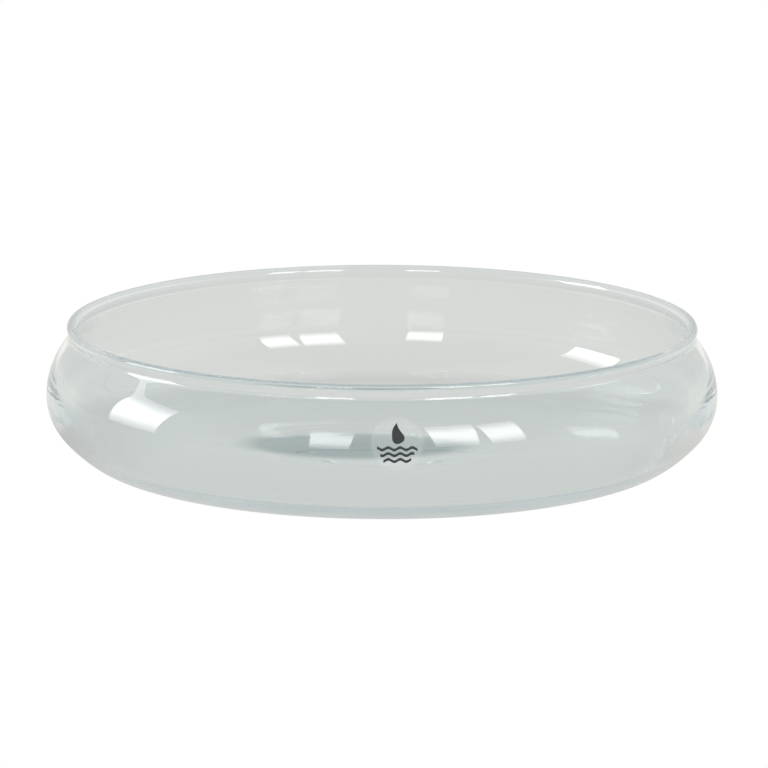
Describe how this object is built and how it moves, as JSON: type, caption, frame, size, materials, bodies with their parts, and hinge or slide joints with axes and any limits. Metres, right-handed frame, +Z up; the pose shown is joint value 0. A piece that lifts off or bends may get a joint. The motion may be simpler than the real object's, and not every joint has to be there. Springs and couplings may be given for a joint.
{
  "type": "floating candle bowl",
  "caption": "Low round bowl of blown clear glass with a bulging belly, a turned-in shoulder and a small turned-out lip, for water and floating candles, with a small clear film sticker.",
  "frame": {"origin": "on the table under the middle of the bowl", "axes": "+Z up along the bowl's axis, -Y towards the front, where the sticker is"},
  "size_m": [0.3, 0.3001, 0.0643],
  "materials": {
    "clear_glass": "fire-polished clear glass, faint grey-green",
    "sticker_film": "thin clear film, gloss, with a small dark print"
  },
  "bodies": {
    "root": {"glass_bowl": "clear_glass", "clear_sticker": "sticker_film"}
  },
  "joints": []
}
